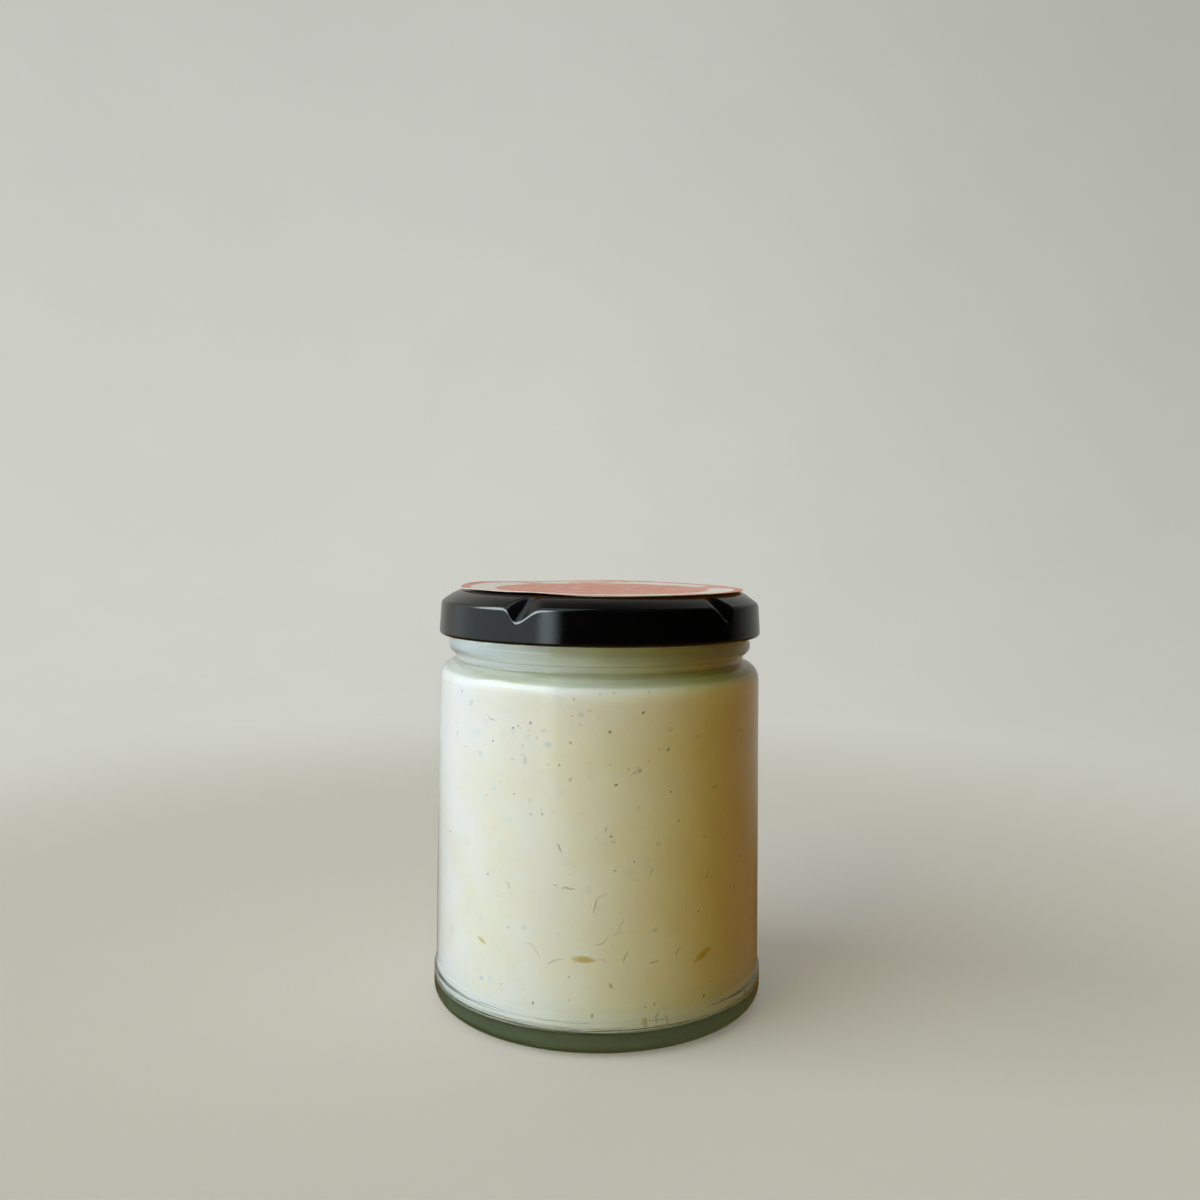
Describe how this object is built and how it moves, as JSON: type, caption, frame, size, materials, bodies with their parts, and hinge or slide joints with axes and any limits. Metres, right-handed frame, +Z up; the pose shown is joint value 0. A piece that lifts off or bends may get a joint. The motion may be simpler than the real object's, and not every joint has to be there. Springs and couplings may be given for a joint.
{
  "type": "horseradish sauce jar",
  "caption": "Clear glass jar filled with creamy herb-flecked horseradish sauce, shut by a dented black metal twist-off lid with a round coral paper sticker on top.",
  "frame": {"origin": "centre of the ring that the jar stands on, at the bottom of the glass", "axes": "+Z up along the jar's axis; -Y is the side the picture shows; +X is to its right"},
  "size_m": [0.0746, 0.0746, 0.0928],
  "materials": {
    "clear_glass": "clear moulded soda glass with a faint green tint",
    "cream_sauce": "smooth cream sauce with herb flecks, wet against the glass",
    "black_enamel": "gloss black enamel on thin pressed steel, dented at the shoulder",
    "coral_paper": "matt coated paper, coral with a pale ring, edges lifting"
  },
  "bodies": {
    "root": {"glass_jar": "clear_glass", "sauce": "cream_sauce", "lid": "black_enamel", "sticker": "coral_paper"}
  },
  "joints": []
}
